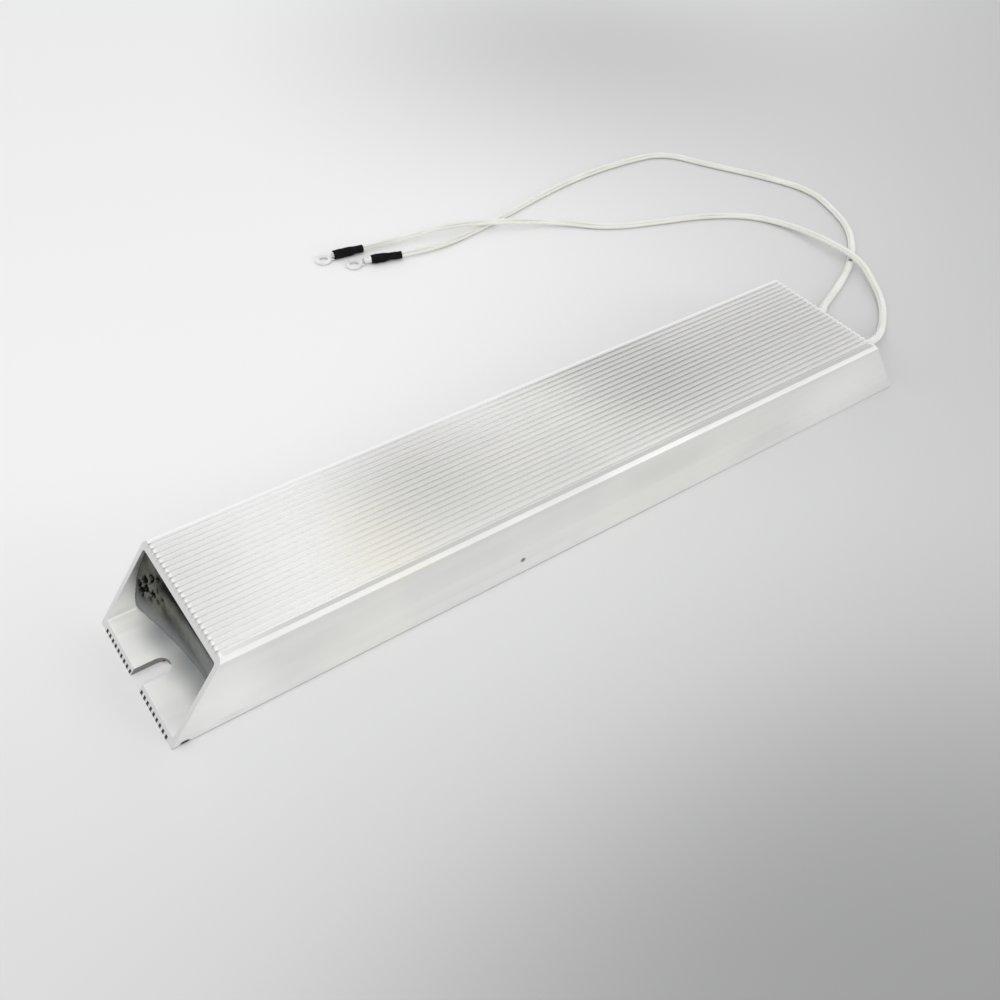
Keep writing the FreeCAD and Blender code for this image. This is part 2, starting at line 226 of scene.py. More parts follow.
# %% Die lines: fine scratches that all run along the extrusion
def build_die_lines():
    group, entry, out = new_group(
        "die_lines", [("Vector", "NodeSocketVector", None)], ["Height", "Streaks"])
    fine = add_noise(group, add_stretch(group, entry.outputs[0], (4, 1500, 1500)), 1.0, 3.0)
    broad = add_noise(group, add_stretch(group, entry.outputs[0], (1.5, 260, 260)), 1.0, 2.0)
    group.links.new(add_math(group, "ADD", fine, broad), out.inputs["Height"])
    group.links.new(add_ramp(group, broad, 0.38, 0.66), out.inputs["Streaks"])
    return group


die_lines = build_die_lines()
print("group:", die_lines.name)

# %% Cloudiness: large soft patches, as handling and the bath leave on bare metal
def build_cloudiness():
    group, entry, out = new_group(
        "cloudiness", [("Vector", "NodeSocketVector", None), ("Scale", "NodeSocketFloat", 20.0)],
        ["Mask"])
    clouds = add_noise(group, entry.outputs[0], entry.outputs[1], 3.0, 0.5)
    group.links.new(add_ramp(group, clouds, 0.35, 0.68), out.inputs["Mask"])
    return group


cloudiness = build_cloudiness()
print("group:", cloudiness.name)

# %% Specks: small dark grains and pinholes, for cement, dust and dirt
def build_specks():
    group, entry, out = new_group(
        "specks", [("Vector", "NodeSocketVector", None), ("Scale", "NodeSocketFloat", 900.0)],
        ["Mask", "Height"])
    cells = group.nodes.new("ShaderNodeTexVoronoi")
    group.links.new(entry.outputs[0], cells.inputs["Vector"])
    group.links.new(entry.outputs[1], cells.inputs["Scale"])
    group.links.new(add_ramp(group, cells.outputs["Distance"], 0.26, 0.12), out.inputs["Mask"])
    group.links.new(cells.outputs["Distance"], out.inputs["Height"])
    return group


specks = build_specks()
print("group:", specks.name)

# %% Worn edges with painted highlight: a mask that is bright where two faces meet at a sharp angle
def build_edge_wear_and_highlight():
    group, entry, out = new_group("edge_wear_and_highlight", [("Threshold", "NodeSocketFloat", 0.02)], ["Mask"])
    soft = group.nodes.new("ShaderNodeBevel")
    soft.samples = 6
    soft.inputs["Radius"].default_value = 0.35 * mm
    flat = group.nodes.new("ShaderNodeNewGeometry")
    dot = group.nodes.new("ShaderNodeVectorMath")
    dot.operation = "DOT_PRODUCT"
    group.links.new(soft.outputs["Normal"], dot.inputs[0])
    group.links.new(flat.outputs["Normal"], dot.inputs[1])
    bend = add_math(group, "SUBTRACT", 1.0, dot.outputs["Value"])
    over = add_math(group, "SUBTRACT", bend, entry.outputs[0])
    group.links.new(add_ramp(group, over, 0.0, 0.12), out.inputs["Mask"])
    return group


edge_wear_and_highlight = build_edge_wear_and_highlight()
print("group:", edge_wear_and_highlight.name)

# %% [markdown]
# ## Finishes
#
# Every finish starts from a Principled shader with its plain numbers, and then gets maps for
# what changes over the surface: colour, roughness and bump. One helper makes the start, and
# three more mix two colours by a mask, place a group and connect a bump.

# %% Material helpers
def start_material(name, roughness, metallic=0.0):
    material = bpy.data.materials.new(name)
    material.use_nodes = True
    tree = material.node_tree
    shader = tree.nodes["Principled BSDF"]
    shader.inputs["Roughness"].default_value = roughness
    shader.inputs["Metallic"].default_value = metallic
    place = tree.nodes.new("ShaderNodeTexCoord")
    return material, tree, shader, place.outputs["Object"]


def add_mix(tree, mask, first, second):
    """A colour that goes from first to second as the mask goes from 0 to 1."""
    node = tree.nodes.new("ShaderNodeMix")
    node.data_type = "RGBA"
    tree.links.new(mask, node.inputs["Factor"])
    for socket, value in ((node.inputs[6], first), (node.inputs[7], second)):
        if isinstance(value, tuple):
            socket.default_value = (*value, 1)
        else:
            tree.links.new(value, socket)
    return node.outputs[2]


def add_group(tree, group, **values):
    node = tree.nodes.new("ShaderNodeGroup")
    node.node_tree = group
    for label, value in values.items():
        if isinstance(value, (int, float)):
            node.inputs[label].default_value = value
        else:
            tree.links.new(value, node.inputs[label])
    return node


def add_bump(tree, shader, height, strength, distance):
    node = tree.nodes.new("ShaderNodeBump")
    node.inputs["Strength"].default_value = strength
    node.inputs["Distance"].default_value = distance
    tree.links.new(height, node.inputs["Height"])
    tree.links.new(node.outputs["Normal"], shader.inputs["Normal"])


def span(tree, mask, low, high):
    """A number that goes from low to high with a mask."""
    return add_math(tree, "ADD", add_math(tree, "MULTIPLY", mask, high - low), low)


print("material helpers ready")

# %% [markdown]
# ### Extruded aluminium
#
# Bare extruded aluminium is a pale matte metal. The die leaves fine lines along it, and edges
# are rubbed bright, with painted highlight on them too. The sawn ends and the milled slots are
# duller, and the grooves of the foot are painted dark as shade. Each of these places is found by
# its coordinates: a point lies on a sawn face when its distance along the part plus its share
# of the height reaches the saw's plane. Soft patches are painted reflections of a real room:
# grey ones and a warm one on the top, and white ones at both ends of the side. So are a grey
# band beside the near shoulder and a bright one along the far edge. The grooves of the top are
# painted paler toward the near end, as painted light. Their ends at the near saw cut are painted
# darker as shade, and at the far cut they are lighter. A grey line along the lower edge of the
# housing is painted shadow. Blue grey patches on the foot toward the cement are painted shade,
# a grey one near the foot's tip darkens it, and a dark strip lies on the inner left wall beside
# the cement.

# %% Masks by place
def add_axes(tree, place):
    """A point's three coordinates, and its distances from the two middle planes."""
    parts = tree.nodes.new("ShaderNodeSeparateXYZ")
    tree.links.new(place, parts.inputs[0])
    x, y, z = parts.outputs
    return x, y, z, add_math(tree, "ABSOLUTE", x, 0.0), add_math(tree, "ABSOLUTE", y, 0.0)


def both(tree, first, second):
    """Where two masks overlap."""
    return add_math(tree, "MULTIPLY", first, second)


def add_between(tree, value, low, high, soft=0.02):
    """A mask that is 1 where a length lies between two limits in millimetres."""
    above = add_ramp(tree, value, (low - soft) * mm, low * mm)
    below = add_ramp(tree, value, (high + soft) * mm, high * mm)
    return both(tree, above, below)


def add_patch(tree, place, centre, radii, core=0.0):
    """A soft mask round a point, with its own reach along each axis, in millimetres.

    It is full within the core, a share of the reach."""
    away = tree.nodes.new("ShaderNodeVectorMath")
    away.operation = "SUBTRACT"
    tree.links.new(place, away.inputs[0])
    away.inputs[1].default_value = Vector(centre) * mm
    scaled = tree.nodes.new("ShaderNodeVectorMath")
    scaled.operation = "DIVIDE"
    tree.links.new(away.outputs[0], scaled.inputs[0])
    scaled.inputs[1].default_value = Vector(radii) * mm
    length = tree.nodes.new("ShaderNodeVectorMath")
    length.operation = "LENGTH"
    tree.links.new(scaled.outputs[0], length.inputs[0])
    return add_ramp(tree, length.outputs["Value"], 1.0, core)


print("masks by place ready")

# %% Housing aluminium
aluminium = (0.90, 0.90, 0.87)
aluminium_dull = (0.84, 0.845, 0.825)
aluminium_bright = (0.96, 0.96, 0.935)
painted_light_white = (0.99, 0.99, 0.985)
sawn_metal = (0.74, 0.74, 0.73)
milled_metal = (0.30, 0.30, 0.29)
groove_shade = (0.14, 0.14, 0.135)
groove_end_shade = (0.68, 0.68, 0.67)
foot_shade = (0.26, 0.28, 0.29)
inner_wall_dark = (0.13, 0.13, 0.12)
shadow_line_grey = (0.34, 0.34, 0.34)
reflection_band_grey = (0.6, 0.605, 0.59)

# Where things lie on the extrusion, in millimetres
saw_plane, saw_slope = 167.5, 21.5 / 30
groove_pitch, groove_half_width = 2.5, 0.64
top_grooved_to, foot_grooved_to = 27.5, 26.2
top_level, top_groove_floor, foot_groove_roof = 30.0, 28.9, 1.2
near_flat_band = (-28.7, -26.9)
slot_half_width, slot_end = 3.82, 154.6

# Soft patches on the top, the side, the foot and the inner wall: centre, reach, colour, strength.
# Those on the top and the white ones on the side are painted reflections.
patches = [
    ((-150, 6, 30), (44, 60, 6), (0.68, 0.68, 0.66), 0.38),
    ((-80, -16, 30), (26, 38, 6), (0.92, 0.88, 0.74), 0.42),
    ((-54, 2, 30), (46, 54, 6), (0.6, 0.6, 0.57), 0.5),
    ((-14, -14, 30), (52, 50, 6), (0.7, 0.7, 0.67), 0.42),
    ((56, 4, 30), (58, 44, 6), (0.6, 0.605, 0.58), 0.7),
    ((110, 0, 30), (110, 60, 6), (0.7, 0.7, 0.69), 0.7),
    ((34, 27, 30), (52, 14, 6), (0.6, 0.6, 0.58), 0.4),
    ((-146, -30, 14), (22, 6, 24), (1.0, 1.0, 0.99), 0.8),
    ((-118, -30, 14), (26, 6, 9), (0.7, 0.7, 0.68), 0.2),
    ((30, -30, 20), (34, 6, 12), (0.7, 0.7, 0.68), 0.3),
    ((92, -30, 8), (30, 6, 9), (0.66, 0.66, 0.65), 0.15),
    ((130, -30, 16), (44, 6, 22), (1.0, 1.0, 0.99), 0.9),
    ((-161, -20, 2.4), (10, 16, 2.6), (0.7, 0.7, 0.69), 0.5),
    # Painted shade on the foot floor toward the cement.
    ((-152, 13, 2.4), (10, 15, 2.6), foot_shade, 0.7),
    ((-149, -3, 2.4), (12, 17, 2.6), foot_shade, 0.75),
    ((-147, -18, 2.4), (12, 16, 2.6), foot_shade, 0.85),
    # A dark strip on the inner left wall beside the cement.
    ((-148, 28, 18), (9, 1.6, 15), inner_wall_dark, 1.0),
]
# A nick in the edge of the foot, and a dark speck on the side
marks = [((-162.9, -30.0, 0.8), (2.1, 1.2, 0.9), (0.06, 0.06, 0.06)),
         ((-33.6, -30.0, 7.1), (1.3, 1.3, 1.3), (0.26, 0.26, 0.26))]


def housing_masks(tree, place):
    """Masks for the places on the extrusion that look different."""
    x, y, height, along, across = add_axes(tree, place)
    to_saw = add_math(tree, "ADD", along, add_math(tree, "MULTIPLY", height, saw_slope))
    near_saw = add_between(tree, to_saw, saw_plane - 0.7, saw_plane + 1, 0.6)
    from_groove = add_math(tree, "PINGPONG", across, groove_pitch / 2 * mm)
    top_groove = both(tree, add_between(tree, across, -1, top_grooved_to),
                      add_between(tree, height, top_groove_floor, top_level - 0.06))
    foot_groove = both(tree, add_between(tree, across, -1, foot_grooved_to),
                       add_between(tree, from_groove, -1, groove_half_width, 0.03))
    slot = both(tree, add_between(tree, across, -1, slot_half_width),
                add_between(tree, along, slot_end, 170))
    on_top = add_between(tree, height, top_level - 0.1, 31)
    near_band = both(tree, on_top, add_between(tree, y, *near_flat_band))
    return {
        "paler grooves": both(tree, top_groove, add_ramp(tree, x, 50 * mm, -60 * mm)),
        "smooth band": both(tree, on_top, add_between(tree, y, top_grooved_to, 31)),
        "grey band": both(tree, near_band, add_ramp(tree, x, -155 * mm, -110 * mm)),
        "foot line": both(tree, add_between(tree, height, -1, 0.4, 0.2),
                          add_ramp(tree, x, 150 * mm, -10 * mm)),
        "near end": add_ramp(tree, x, 0.0, -10 * mm),
        "groove ends": both(tree, top_groove, near_saw),
        "sawn rim": both(tree, near_saw, add_between(tree, height, top_level - 0.03, 31)),
        "slot": both(tree, slot, add_between(tree, height, 0.04, 2.34)),
        "sawn": add_between(tree, to_saw, saw_plane - 0.04, saw_plane + 1),
        "foot grooves": both(tree, foot_groove, add_between(tree, height, -1, foot_groove_roof, 0.08)),
    }


def make_aluminium():
    material, tree, shader, place = start_material("housing_aluminium", 0.5, metallic=0.8)
    lines = add_group(tree, die_lines, Vector=place)
    clouds = add_group(tree, cloudiness, Vector=place, Scale=22.0)
    wear_and_highlight = add_group(tree, edge_wear_and_highlight)
    masks = housing_masks(tree, place)
    colour = add_mix(tree, clouds.outputs["Mask"], aluminium_dull, aluminium)
    colour = add_mix(tree, span(tree, lines.outputs["Streaks"], 0.0, 0.35), colour, aluminium_bright)
    # Painted light: the grooves of the top are made paler toward the near end.
    colour = add_mix(tree, span(tree, masks["paler grooves"], 0.0, 0.9), colour, painted_light_white)
    for centre, radii, shade, strength in patches:
        mask = span(tree, add_patch(tree, place, centre, radii), 0.0, strength)
        colour = add_mix(tree, mask, colour, shade)
    # Rubbed edges, made brighter also as painted highlight.
    colour = add_mix(tree, wear_and_highlight.outputs["Mask"], colour, aluminium_bright)
    # Painted reflection: a bright band along the far edge of the top.
    colour = add_mix(tree, span(tree, masks["smooth band"], 0.0, 0.8), colour, painted_light_white)
    # Painted reflection: a grey band beside the near shoulder.
    colour = add_mix(tree, span(tree, masks["grey band"], 0.0, 0.75), colour, reflection_band_grey)
    # Painted shadow: a grey line along the lower edge of the housing.
    colour = add_mix(tree, span(tree, masks["foot line"], 0.0, 0.75), colour, shadow_line_grey)
    # Painted shade: groove ends at the near saw cut are darker; at the far cut they are lighter.
    end_shade = add_mix(tree, masks["near end"], aluminium_bright, groove_end_shade)
    colour = add_mix(tree, masks["groove ends"], colour, end_shade)
    colour = add_mix(tree, masks["sawn rim"], colour, aluminium_bright)
    colour = add_mix(tree, masks["slot"], colour, milled_metal)
    colour = add_mix(tree, masks["sawn"], colour, sawn_metal)
    # Painted shade: the grooves of the foot and their mouths are dark.
    colour = add_mix(tree, masks["foot grooves"], colour, groove_shade)
    for centre, radii, grey in marks:
        colour = add_mix(tree, add_patch(tree, place, centre, radii, 0.5), colour, grey)
    tree.links.new(colour, shader.inputs["Base Color"])
    tree.links.new(span(tree, clouds.outputs["Mask"], 0.58, 0.48), shader.inputs["Roughness"])
    add_bump(tree, shader, lines.outputs["Height"], 0.25, 0.05 * mm)
    return material


finish = {"housing_aluminium": make_aluminium()}
print("patches and marks on the housing:", len(patches) + len(marks))

# %% [markdown]
# ### Cement, sand and mica
#
# The end cement is a grey green paste with grains, painted darker than the paste is as shade
# inside the mouth. Low down and on the right it is paler and bluish, as painted light. Its pits
# and the gap under the roof are painted black as shade; they come as an attribute of the mesh,
# so that colour and shape agree. Sand and mica are inside, but a part that is taken apart or cut
# open should show them too.

# %% Cement, sand and mica finishes
def add_hollow(tree):
    """The hollow attribute that a mesh carries: 0 on its surface, 1 deep in a pit or gap, where the
    finishes paint shade.
    """
    node = tree.nodes.new("ShaderNodeAttribute")
    node.attribute_name = "hollow"
    return node.outputs["Fac"]


# The cement's colours are darker than the paste, as painted shade inside the mouth.
cement_dark, cement_pale = (0.055, 0.055, 0.049), (0.14, 0.14, 0.123)
cement_grain, pit_and_gap_shade = (0.035, 0.035, 0.03), (0.003, 0.003, 0.003)
cement_painted_light = (0.27, 0.29, 0.295)


def make_cement():
    material, tree, shader, place = start_material("end_cement", 0.9)
    shader.inputs["Specular IOR Level"].default_value = 0.08
    clouds = add_group(tree, cloudiness, Vector=place, Scale=110.0)
    grains = add_group(tree, specks, Vector=place, Scale=1400.0)
    colour = add_mix(tree, clouds.outputs["Mask"], cement_dark, cement_pale)
    colour = add_mix(tree, grains.outputs["Mask"], colour, cement_grain)
    y, z = add_axes(tree, place)[1:3]
    # Painted light: paler and bluish low down and on the right.
    low, right = add_ramp(tree, z, 13 * mm, 3 * mm), add_ramp(tree, y, 8 * mm, -24 * mm)
    painted_light_mask = add_math(tree, "MAXIMUM", low, right)
    colour = add_mix(tree, span(tree, painted_light_mask, 0.0, 0.7), colour, cement_painted_light)
    # Painted shade: pits and the gap under the roof go black.
    colour = add_mix(tree, add_hollow(tree), colour, pit_and_gap_shade)
    tree.links.new(colour, shader.inputs["Base Color"])
    add_bump(tree, shader, grains.outputs["Height"], 0.6, 0.15 * mm)
    return material


def make_grainy(name, dark, light, grain, roughness, cloud):
    """A mineral with soft clouds and fine grains."""
    material, tree, shader, place = start_material(name, roughness)
    clouds = add_group(tree, cloudiness, Vector=place, Scale=cloud)
    grains = add_group(tree, specks, Vector=place, Scale=grain)
    colour = add_mix(tree, clouds.outputs["Mask"], dark, light)
    colour = add_mix(tree, span(tree, grains.outputs["Mask"], 0.0, 0.4), colour, dark)
    tree.links.new(colour, shader.inputs["Base Color"])
    add_bump(tree, shader, grains.outputs["Height"], 0.4, 0.1 * mm)
    return material


finish["end_cement"] = make_cement()
finish["quartz_sand"] = make_grainy(
    "quartz_sand", (0.52, 0.48, 0.4), (0.75, 0.72, 0.64), grain=1600.0, roughness=0.85, cloud=60.0)
finish["mica"] = make_grainy(
    "mica", (0.38, 0.31, 0.2), (0.6, 0.53, 0.4), grain=350.0, roughness=0.3, cloud=140.0)
print("finishes so far:", len(finish))

# %% [markdown]
# ### The other metals
#
# Resistance ribbon, nickel strip, rivets, terminals and strands are all small and bright.
# They differ in colour and in how far the metal has dulled, so one function makes them.

# %% Metal finishes
def make_metal(name, bright, dull, roughness):
    material, tree, shader, place = start_material(name, roughness, metallic=1.0)
    clouds = add_group(tree, cloudiness, Vector=place, Scale=260.0)
    pits = add_group(tree, specks, Vector=place, Scale=2200.0)
    colour = add_mix(tree, clouds.outputs["Mask"], dull, bright)
    tree.links.new(colour, shader.inputs["Base Color"])
    rough = span(tree, clouds.outputs["Mask"], roughness + 0.12, roughness)
    tree.links.new(rough, shader.inputs["Roughness"])
    add_bump(tree, shader, pits.outputs["Height"], 0.15, 0.03 * mm)
    return material


for slot_name, bright, dull, roughness in (
    ("resistance_ribbon", (0.55, 0.52, 0.48), (0.36, 0.34, 0.32), 0.35),
    ("nickel_strip", (0.68, 0.66, 0.61), (0.52, 0.5, 0.46), 0.3),
    ("rivet_steel", (0.6, 0.6, 0.61), (0.42, 0.42, 0.43), 0.32),
    ("tinned_terminal", (0.97, 0.97, 0.97), (0.84, 0.845, 0.85), 0.25),
    ("tinned_strands", (0.82, 0.79, 0.74), (0.62, 0.58, 0.52), 0.25),
):
    finish[slot_name] = make_metal(slot_name, bright, dull, roughness)
print("finishes so far:", len(finish))

# %% [markdown]
# ### Glass sleeving and shrink sleeve
#
# The sleeving is ivory yarn with a slight sheen, and light passes a little way into it. Its
# mesh carries the braid as real relief and tells the material, through the hollow attribute,
# where the gaps between yarns and the crease are; these are painted darker as shade. Where one
# lead crosses the other, a small painted shadow lies on the lower one. The shrink sleeve is
# plain black and matte.

# %% Sleeve finishes
yarn_warm, yarn_pale, yarn_gap_shade = (0.82, 0.82, 0.77), (0.88, 0.88, 0.85), (0.6, 0.6, 0.54)
# A painted shadow on lead a, under the place where lead b crosses it.
crossing_shadow_place, crossing_shadow_reach, crossing_shadow_colour = (226.2, 48.0, 2.6), (1.6, 1.6, 1.6), (0.13, 0.12, 0.1)


def make_sleeving():
    material, tree, shader, place = start_material("braided_sleeving", 0.6)
    shader.inputs["Sheen Weight"].default_value = 0.6
    shader.inputs["Sheen Roughness"].default_value = 0.4
    shader.inputs["Subsurface Weight"].default_value = 0.6
    shader.inputs["Subsurface Radius"].default_value = (1, 1, 1)
    shader.inputs["Subsurface Scale"].default_value = 1.5 * mm
    clouds = add_group(tree, cloudiness, Vector=place, Scale=70.0)
    hairs = add_noise(tree, add_stretch(tree, place, (3800, 3800, 3800)), 1.0, 2.0)
    colour = add_mix(tree, clouds.outputs["Mask"], yarn_warm, yarn_pale)
    # Painted shade in the gaps between yarns and along the crease.
    colour = add_mix(tree, add_hollow(tree), colour, yarn_gap_shade)
    # Painted shadow under the crossing.
    colour = add_mix(tree, add_patch(tree, place, crossing_shadow_place, crossing_shadow_reach, 0.3), colour, crossing_shadow_colour)
    tree.links.new(colour, shader.inputs["Base Color"])
    tree.links.new(span(tree, hairs, 0.5, 0.72), shader.inputs["Roughness"])
    add_bump(tree, shader, hairs, 0.3, 0.04 * mm)
    return material


def make_shrink():
    material, tree, shader, place = start_material("black_shrink", 0.6)
    shader.inputs["Specular IOR Level"].default_value = 0.12
    clouds = add_group(tree, cloudiness, Vector=place, Scale=320.0)
    grain = add_noise(tree, add_stretch(tree, place, (2500, 2500, 2500)), 1.0)
    colour = add_mix(tree, clouds.outputs["Mask"], (0.002, 0.002, 0.002), (0.005, 0.005, 0.0055))
    tree.links.new(colour, shader.inputs["Base Color"])
    tree.links.new(span(tree, clouds.outputs["Mask"], 0.7, 0.5), shader.inputs["Roughness"])
    add_bump(tree, shader, grain, 0.2, 0.04 * mm)
    return material


finish["braided_sleeving"] = make_sleeving()
finish["black_shrink"] = make_shrink()
print("finishes:", sorted(finish))

# %% [markdown]
# ## Building pieces
#
# Every new piece is made in a bmesh and then becomes an object at the origin, with its place
# in its mesh. The helper also hangs it on the frame's root body, hides the solids it stands for,
# and gives it its finish.

# %% Piece helper
def place_piece(bm, name, slot_name, *stands_for, smooth=True):
    mesh = bpy.data.meshes.new(name)
    for face in bm.faces:
        face.smooth = smooth
    bm.to_mesh(mesh)
    bm.free()
    mesh.materials.append(finish[slot_name])
    piece = bpy.data.objects.new(name, mesh)
    scene.collection.objects.link(piece)
    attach(piece, "root")
    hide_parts(*stands_for)
    return piece


# %% [markdown]
# ### Braided sleeving
#
# The sleeving starts as a flat grid of points, which is then rolled up round the lead: one
# way along the grid becomes the angle, the other the distance. At each step the ring turns
# as little as the bend asks, so the tube never twists. Two sets of yarns wind round it, one
# each way, and cross over and under each other like cloth: where the sum of two whole
# numbers is even, one set lies on top, and elsewhere the other. The loose stretch is a
# little flat, with a shallow crease, because it was pressed on its reel.

# %% Roll a grid up along a line
def stations(line):
    """At each point of a line: the distance walked and the turn of the ring there."""
    ahead = [b - a for a, b in zip(line, line[1:])]
    ways = [ahead[0]] + [a + b for a, b in zip(ahead, ahead[1:])] + [ahead[-1]]
    walked, turn, last = 0.0, ways[0].to_track_quat("Z", "Y"), ways[0].normalized()
    found = []
    for i, way in enumerate(ways):
        walked += ahead[i - 1].length if i else 0.0
        way = way.normalized()
        turn = last.rotation_difference(way) @ turn
        last = way
        found.append((walked, turn))
    return found


def sweep(line, segments, radius_at):
    """A closed tube along a line. radius_at gives radius and hollow from distance and angle."""
    bm = bmesh.new()
    hollow = bm.verts.layers.float.new("hollow")
    steps = len(line) - 1
    bmesh.ops.create_grid(bm, x_segments=segments, y_segments=steps, size=0.5)
    rings = stations(line)
    for vert in bm.verts:
        i = round((vert.co.y + 0.5) * steps)
        angle = math.tau * (round((vert.co.x + 0.5) * segments) % segments) / segments
        walked, turn = rings[i]
        radius, vert[hollow] = radius_at(walked, angle)
        vert.co = line[i] + turn @ Vector((math.cos(angle), math.sin(angle), 0)) * radius
    bmesh.ops.remove_doubles(bm, verts=bm.verts, dist=0.0005 * mm)
    bmesh.ops.holes_fill(bm, edges=[edge for edge in bm.edges if edge.is_boundary])
    bmesh.ops.recalc_face_normals(bm, faces=bm.faces)
    return bm


print("sweep ready")

# %% The two leads' sleeving
yarns_each_way = 8
braid_pitch = 9.0 * mm
braid_relief = 0.07 * mm
lead_step = 0.42 * mm
lead_segments = 40
widening, thinning = 0.22, 0.05
flat_from, flat_until, flat_ramp = 14 * mm, 16 * mm, 25 * mm
crease_angle, crease_spread, crease_depth = 0.6, 0.22, 0.05


def braided(length):
    """Radius and hollow of a sleeving at a distance along it and an angle round it."""
    def braid(walked, angle):
        turns = angle / math.tau
        one = yarns_each_way * (turns + walked / braid_pitch)
        other = yarns_each_way * (turns - walked / braid_pitch)
        if (math.floor(one) + math.floor(other)) % 2:
            one, other = other, one
        across = math.sin(math.pi * (one % 1))
        arch = math.sin(math.pi * (other % 1))
        height = across * (0.55 + 0.45 * arch)
        lumps = noise.noise(Vector((walked * 160, math.cos(angle), math.sin(angle))))
        crease = math.exp(-((angle - crease_angle) / crease_spread) ** 2)
        crease *= 0.6 + noise.noise(Vector((walked * 60, 0, 3)))
        from_ends = min(walked - flat_from, length - walked - flat_until)
        flat = min(1.0, max(0.0, from_ends / flat_ramp))
        wide, high = lead_radius * (1 + widening * flat), lead_radius * (1 - thinning * flat)
        oval = wide * high / math.hypot(high * math.cos(angle), wide * math.sin(angle))
        radius = oval * (1 + 0.03 * lumps - crease_depth * crease) - braid_relief * (1 - height)
        # The hollow value marks the gaps between yarns and the crease, which the finish paints darker
        # as shade.
        return radius, max(0.0, 0.75 - height) ** 1.5 + 0.9 * max(0.0, crease)
    return braid


for mark, line in lead_lines.items():
    bm = sweep(evenly(line, lead_step), lead_segments, braided(lead_lengths[mark]))
    place_piece(bm, "sleeving_" + mark, "braided_sleeving", "lead_" + mark)

# %% [markdown]
# ### Shrink sleeves
#
# A shrink sleeve clings to what is under it: narrow on the lead, wide and lumpy over the
# crimped barrel. The same sweep makes it, with a profile along its length. Each end gets a rim
# as wide as the sleeve's wall, and its edges are rounded.

# %% Shrink sleeves over the crimped ends
def sharper_than(bm, angle):
    """The edges at which two faces meet at more than an angle in radians."""
    return [edge for edge in bm.edges if len(edge.link_faces) == 2 and edge.calc_face_angle() > angle]


def round_edges(bm, edges, width):
    bmesh.ops.bevel(bm, geom=edges, offset=width, offset_type="OFFSET", affect="EDGES",
                    segments=2, profile=0.5, material=-1, clamp_overlap=True)


def end_frame(route):
    """Where a lead ends and which way it points: a matrix from terminal space."""
    way = (route[-1] - route[-2]).xy
    turn = Matrix.Rotation(math.atan2(way.y, way.x), 4, "Z")
    return Matrix.Translation(route[-1]) @ turn


def cling(profile, phase):
    """The radius of a shrink sleeve, from (distance, radius) pairs in millimetres."""
    def radius_at(walked, angle):
        s = walked / mm
        for (s0, r0), (s1, r1) in zip(profile, profile[1:]):
            if s <= s1 + 1e-6:
                t = (s - s0) / (s1 - s0)
                radius = r0 + (r1 - r0) * t * t * (3 - 2 * t)
                break
        bulge = noise.noise(Vector((s * 0.45 + phase, 1.2 * math.cos(angle), 1.2 * math.sin(angle))))
        return (radius + 0.16 * bulge * min(1, s, profile[-1][0] - s)) * mm, 0.0
    return radius_at


shrink_wall = 0.3
shrink_steps, shrink_segments = 46, 32
# Where each sleeve starts, seen from the lead's end, its profile, and a phase for its lumps
shrink_profiles = {
    "a": (-14.0, [(0, 1.85), (6.5, 1.85), (9.5, 2.25), (13.0, 2.3), (14.6, 2.1), (15.5, 1.95)], 3.0),
    "b": (-10.6, [(0, 1.9), (3.6, 1.9), (7.0, 2.25), (11.8, 2.3), (14.6, 2.2), (15.4, 2.1)], 11.0),
}


def make_shrink_sleeve(mark):
    start, profile, phase = shrink_profiles[mark]
    step = profile[-1][0] / shrink_steps
    line = [Vector((start + step * i, 0, 0)) * mm for i in range(shrink_steps + 1)]
    bm = sweep(line, shrink_segments, cling(profile, phase))
    caps = [face for face in bm.faces if len(face.verts) == shrink_segments]
    bmesh.ops.inset_region(bm, faces=caps, thickness=shrink_wall * mm, depth=0)
    round_edges(bm, sharper_than(bm, 1.2), 0.08 * mm)
    bmesh.ops.transform(bm, matrix=end_frame(routes[mark]), verts=bm.verts)
    return place_piece(bm, "shrink_" + mark, "black_shrink", "shrink_sleeve_" + mark)


shrinks = {mark: make_shrink_sleeve(mark) for mark in "ab"}
print("shrink sleeves:", [piece.name for piece in shrinks.values()])

# %% [markdown]
# ### Ring terminals
#
# The solid from the frame has the right outline, but all its edges are sharp. A copy of its
# mesh is cleaned first: doubled points are merged, and flat groups of triangles become
# single faces. Then a small bevel rounds the edges, which lets the tin catch the light.

# %% Soften the edges of a copied solid
def softened(node_name, width):
    bm = bmesh.new()
    bm.from_mesh(nodes[node_name].data)
    bmesh.ops.remove_doubles(bm, verts=bm.verts, dist=0.002 * mm)
    bmesh.ops.dissolve_limit(bm, angle_limit=math.radians(1), verts=bm.verts, edges=bm.edges)
    round_edges(bm, sharper_than(bm, math.radians(35)), width)
    bmesh.ops.triangulate(bm, faces=[face for face in bm.faces if len(face.verts) > 4])
    return bm


for mark in "ab":
    node_name = "ring_terminal_" + mark
    place_piece(softened(node_name, 0.12 * mm), "ring_" + mark, "tinned_terminal",
                              node_name, smooth=False)

# %% [markdown]
# ### Strands
#
# The bared core is a bundle of fine tinned wires: one in the middle, six round it and twelve
# round those. Each is a small cylinder with rounded ends.

# %% Strands in the terminals
strand_radius = 0.17
strand_length = 5.8
strand_rings = ((0.0, 1), (0.35, 6), (0.7, 12))


